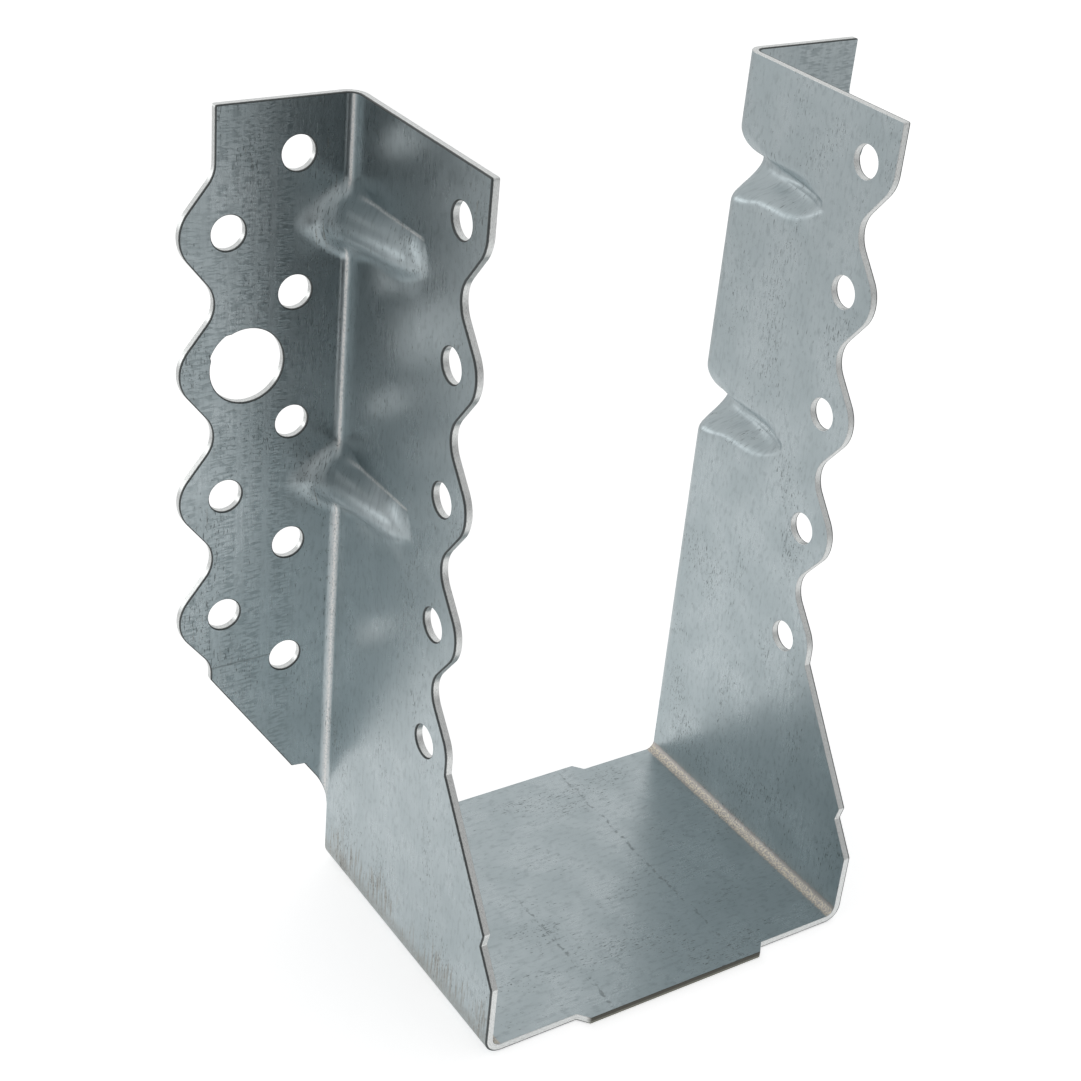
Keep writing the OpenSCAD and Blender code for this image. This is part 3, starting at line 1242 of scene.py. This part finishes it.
    def scuffs(self, pattern: BlankPattern) -> Level:
        """Two dotted scuffs across the seat's top and a line scribed across the left flange."""
        middle = self.scuff_sway / 2
        wander = pattern.signed + pattern.noise(self.scuff_wander) * self.scuff_sway
        long, short = (wander.band(middle, scuff) for scuff in (self.long_scuff, self.short_scuff))
        short = short * pattern.across.swing(*self.short_scuff_across)
        dotted = (long | short) * pattern.marks(self.scuff_crumbs) * pattern.inner_skin
        scribed_u = -Blank(self.sizes).u_at(self.scribed_z)
        scribed = pattern.signed.band(scribed_u, self.scribed_line) * pattern.outer_skin
        scribed = scribed * pattern.across.swing(*self.scribed_across)
        return dotted * self.scuff_share + scribed

    def chatter(self, pattern: BlankPattern) -> Level:
        """Columns of fine dashes across the strip, which the roll leaves on the flanges."""
        dashes = pattern.marks(self.chatter_dash) * pattern.marks(self.chatter_column)
        return dashes * pattern.across.swing(*self.chatter_across)

    def dragging(self, pattern: BlankPattern, grain: Level, patch: Level) -> Level:
        """Where the zinc drags over the die, outside the bottom bend and fading up the plate.

        Args:
            pattern: Patterns on the blank.
            grain: Fine grain that breaks the marks up.
            patch: Large patches that thicken them.

        Returns:
            The share of dragged zinc.
        """
        blank = Blank(self.sizes)
        past = pattern.along - (blank.bend_start + blank.bend_length)
        drag = pattern.noise(self.drag) + patch * self.drag_patches
        dragged = (drag - past.swing(*self.drag_thinning)).swing(*self.drag_swing)
        brushed = past.combined("ABSOLUTE").swing(*self.brushed_swing)
        dragged = (dragged | brushed) * past.swing(*self.drag_start) * pattern.outer_skin
        return dragged * grain.swing(*self.dragged_grain)

    def crushing(self, pattern: BlankPattern) -> tuple[Level, Level]:
        """Where the bottom bend crushes the zinc inside it, and its grains there, painted pale as
        glints.
        """
        blank = Blank(self.sizes)
        bend_middle = blank.bend_start + blank.bend_length / 2
        crumbs = pattern.noise(self.crumbs)
        ragged = pattern.along + crumbs * self.crushed_raggedness
        crushed = ragged.band(bend_middle, self.crushed_band) * pattern.inner_skin
        # Pale crushed grains in a stripe inside the bottom bend, painted as glints
        glint_stripe = pattern.along.band(bend_middle, self.glint_band) * pattern.inner_skin
        return crushed, crumbs.swing(*self.crumbs.swing) * glint_stripe

    def stretch(self, pattern: BlankPattern) -> Level:
        """Where the beads stretch the zinc and leave it duller."""
        ridges = map(Blank(self.sizes).u_at, self.sizes.bead_z())
        noses = [pattern.along.band(ridge_u, self.stretch_band) for ridge_u in ridges]
        start, end = (pattern.across.swing(*swing) for swing in self.stretch_across)
        return reduce(Level.__or__, noses) * start * end

    def rub_highlight(self, pattern: BlankPattern) -> Level:
        """Where the die rubs the zinc rougher and a pale line of painted highlight lies on it: down
        the vertical bend and along the beads' creases.
        """
        s = self.sizes
        blank = Blank(s)
        along, across = pattern.along, pattern.across
        fold_middle = (blank.fold_end + s.bend_out_r) / 2
        line, broad_highlight = (across.band(fold_middle, band) for band in (self.bend_highlight_line, self.bend_highlight_broad))
        low = along.swing(*map(blank.u_at, self.bend_highlight_broad_z), 0.0, self.bend_highlight_broad_share)
        rubbed_highlight = (line | broad_highlight * low) * along.swing(*map(blank.u_at, self.bend_highlight_start_z))
        # Painted highlight along the beads' upper creases
        start, end = (across.swing(*swing) for swing in self.crease_highlight_across)
        ridges = [blank.u_at(z) for z in s.bead_z()]
        for ridge_u in ridges:
            rubbed_highlight = rubbed_highlight * (along.band(ridge_u, self.highlight_gap_at_ridges) * -1.0 + 1.0)
        crease_highlights = [along.band(ridge_u, self.crease_highlight_band) * start * end for ridge_u in ridges]
        return reduce(Level.__or__, crease_highlights, rubbed_highlight)


@dataclass(frozen=True)
class ShearedEdge:
    """Sheared steel edge of galvanised sheet.

    The punch burnishes most of the thickness bright, with fine lines across it, and the last
    third tears away dark and rough where the sheet rolls over. The seat's front lip is cut by
    a worn tool and is dull all through. The real lines are under a tenth of a millimetre apart,
    which is too fine to show, so they are drawn as coarse as they need to.
    """

    sizes: SheetSizes
    burnished: str = "#eef0ef"
    line_colour: str = "#c3c6c5"
    torn_colour: str = "#646868"
    lip_dark: str = "#5a5953"
    lip_pale: str = "#85867c"
    roughness: float = 0.34
    torn_roughness: float = 0.2
    lip_roughness: float = 0.15
    line: Noise = Noise(0.3, 0.3, 2.0, 0.0, (0.45, 0.65))
    torn_wander: float = 0.35
    torn_swing: Swing = (0.62, 0.78)
    lip_along: Pair = (0.6, -0.2)
    lip_across: Pair = (-0.4, 0.2)
    lip_wander: float = 0.6
    lip_swing: Swing = (0.3, 0.5)

    def material(self) -> bpy.types.Material:
        """The finish as a material."""
        material, tree = new_material("galvanised_steel_sheared_edge")
        s = self.sizes
        pattern = BlankPattern(tree, s)
        line = pattern.noise(self.line)
        torn = (pattern.through + line * self.torn_wander).swing(*self.torn_swing)
        lip = pattern.along.swing(*(s.lip_w / 2 + off for off in self.lip_along))
        front = s.seat_depth - s.recess
        lip = lip * pattern.across.swing(*(front + off for off in self.lip_across))
        pale = (pattern.through + line * self.lip_wander).swing(*self.lip_swing)
        layers = [
            (line.swing(*self.line.swing), self.line_colour),
            (torn, self.torn_colour),
            (lip, layered(tree, self.lip_dark, [(pale, self.lip_pale)])),
        ]
        rough = torn * self.torn_roughness + self.roughness + lip * self.lip_roughness
        colour = layered(tree, self.burnished, layers)
        inputs = {"Base Color": colour, "Metallic": 1.0, "Roughness": rough}
        surface(tree, "ShaderNodeBsdfPrincipled", inputs)
        return material


# ---- Studio --------------------------------------------------------------------------------


def background_rays(tree: Tree) -> tuple[Level, Level]:
    """Rays that see the background: those from the camera or through glass, and those off metal."""
    path = add_node(tree, "ShaderNodeLightPath").outputs
    seen = Level(tree, path["Is Camera Ray"]) | path["Is Transmission Ray"]
    return seen, Level(tree, path["Is Glossy Ray"])


@dataclass(frozen=True)
class Studio:
    """Pale floor, white surroundings and soft lamps. Lengths are in metres."""

    floor_z: float
    floor_half: float = 3.0
    floor_colour: str = "#e6e6e6"
    floor_glow: float = 0.6
    pool_near: Pair = (0.02, 0.48)
    pool_far: Pair = (0.3, 0.13)
    bright_side: Triple = (0.3, 0.8, 0.52)
    back_level: float = 0.8
    front_level: float = 0.3
    flag_corners: tuple[Pair, ...] = (
        (-0.06, -0.11), (-0.17, -0.11), (-0.95, -1.0), (-0.95, -1.3), (-0.06, -1.3)
    )
    flag_gap: float = 0.001
    flag_colour: str = "#303234"
    softbox_place: Triple = (-1.1, 0.78, 0.2)
    softbox_aim: Triple = (0.0, 0.0, 0.06)
    softbox_size: Pair = (1.5, 0.4)
    softbox_power: float = 2.2
    camera_place: Triple = (-0.15804, -0.20045, 0.21002)
    camera_right: Triple = (0.83883, -0.537247, 0.087918)
    camera_forward: Triple = (0.504218, 0.705838, -0.49755)
    lens_mm: float = 66.88
    sensor_mm: float = 36.0
    clip_start: float = 0.01

    def build(self) -> None:
        """Sets up the floor, the surroundings, the flag, the lamp and the camera."""
        self.add_floor()
        self.set_world()
        self.add_flag()
        self.add_softbox()
        self.add_camera()
        bpy.context.scene.view_settings.view_transform = "Standard"

    def add_flat(
        self, name: str, corners: Iterable[Pair], z: float, finish: str
    ) -> tuple[bpy.types.Object, Tree]:
        """Adds a flat studio piece that lies level.

        Args:
            name: Its name.
            corners: Its outline.
            z: Its height.
            finish: Name of its material.

        Returns:
            The piece and the empty tree of its material.
        """
        mesh = bpy.data.meshes.new(name)
        places = [(x, y, z) for x, y in corners]
        mesh.from_pydata(places, [], [tuple(range(len(places)))])
        material, tree = new_material(finish)
        mesh.materials.append(material)
        piece = add_object(name, mesh)
        return piece, tree

    def add_floor(self) -> None:
        """The floor that the hanger stands on, with a soft pool of light round it in the metal."""
        h = self.floor_half
        corners = [(-h, -h), (h, -h), (h, h), (-h, h)]
        _, tree = self.add_flat("floor", corners, self.floor_z, "studio_floor_matt_white")
        shade = add_node(tree, "ShaderNodeBsdfDiffuse", {"Color": linear(self.floor_colour)})
        place = add_node(tree, "ShaderNodeNewGeometry").outputs["Position"]
        away = add_node(tree, "ShaderNodeVectorMath", {0: place}, operation="LENGTH")
        (near, bright), (far, faint) = self.pool_near, self.pool_far
        inputs = {0: away.outputs["Value"], 1: near, 2: far, 3: bright, 4: faint}
        pool = add_node(tree, "ShaderNodeMapRange", inputs).outputs[0]
        seen, off_metal = background_rays(tree)
        strength = off_metal * pool + seen * self.floor_glow
        glow = add_node(tree, "ShaderNodeEmission", {"Strength": strength})
        surface(tree, "ShaderNodeAddShader", {0: shade.outputs[0], 1: glow.outputs[0]})

    def set_world(self) -> None:
        """Bright surroundings behind the hanger, falling off towards its front.

        The background itself stays white where it is looked at straight.
        """
        world = bpy.data.worlds.new("surroundings")
        world.use_nodes = True
        tree = world.node_tree
        tree.nodes.clear()
        place = add_node(tree, "ShaderNodeTexCoord").outputs["Generated"]
        inputs = {0: place, 1: self.bright_side}
        facing = add_node(tree, "ShaderNodeVectorMath", inputs, operation="DOT_PRODUCT")
        inputs = {0: facing.outputs["Value"], 1: -1.0, 2: 1.0}
        inputs |= {3: self.front_level, 4: self.back_level}
        level = add_node(tree, "ShaderNodeMapRange", inputs).outputs[0]
        path = add_node(tree, "ShaderNodeLightPath")
        inputs = {0: path.outputs["Is Camera Ray"], 2: level, 3: 1.0}
        strength = add_node(tree, "ShaderNodeMix", inputs, data_type="FLOAT").outputs[0]
        inputs = {"Color": linear("#ffffff"), "Strength": strength}
        back = add_node(tree, "ShaderNodeBackground", inputs)
        add_node(tree, "ShaderNodeOutputWorld", {"Surface": back.outputs[0]})
        bpy.context.scene.world = world

    def add_flag(self) -> None:
        """A black flag flat on the floor, which only the metal's reflections see."""
        height = self.floor_z + self.flag_gap
        finish = "studio_flag_black_cloth"
        flag, tree = self.add_flat("black_flag", self.flag_corners, height, finish)
        surface(tree, "ShaderNodeBsdfDiffuse", {"Color": linear(self.flag_colour)})
        flag.visible_camera = False
        flag.visible_diffuse = False
        flag.visible_shadow = False

    def add_softbox(self) -> None:
        """A low strip softbox to the left and behind, which puts soft lights on the beads."""
        data = bpy.data.lights.new("softbox", "AREA")
        data.shape = "RECTANGLE"
        data.size, data.size_y = self.softbox_size
        data.energy = self.softbox_power
        lamp = add_object("softbox", data)
        lamp.location = self.softbox_place
        aim = Vector(self.softbox_aim) - Vector(self.softbox_place)
        lamp.rotation_euler = aim.to_track_quat("-Z", "Y").to_euler()

    def add_camera(self) -> None:
        """The camera, given by its place and by two directions."""
        data = bpy.data.cameras.new("camera")
        data.lens = self.lens_mm
        data.sensor_width = self.sensor_mm
        data.clip_start = self.clip_start
        camera = add_object("camera", data)
        right, forward = Vector(self.camera_right), Vector(self.camera_forward)
        turn = Matrix((right, right.cross(forward), -forward)).transposed().to_4x4()
        camera.matrix_world = Matrix.Translation(self.camera_place) @ turn
        bpy.context.scene.camera = camera


def main() -> None:
    """Builds the hanger and its studio, and reports each piece."""
    logging.basicConfig(level=logging.INFO, format="%(name)s: %(message)s")
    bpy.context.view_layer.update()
    low, high = (Vector(corner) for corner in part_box(NODE))
    sizes = SheetSizes()
    origin = Vector(((low.x + high.x) / 2, high.y, low.z + sizes.sheet_t * MM))
    sheet = FoldedSheet(sizes).build(origin)
    sheet.data.materials.append(GalvanisedSheet(sizes).material())
    sheet.data.materials.append(ShearedEdge(sizes).material())
    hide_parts(NODE)
    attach(sheet, "root")
    mesh = sheet.data
    LOG.info("%s: %d points, %d faces", sheet.name, len(mesh.vertices), len(mesh.polygons))
    Studio(low.z).build()


if __name__ == "__main__":
    main()
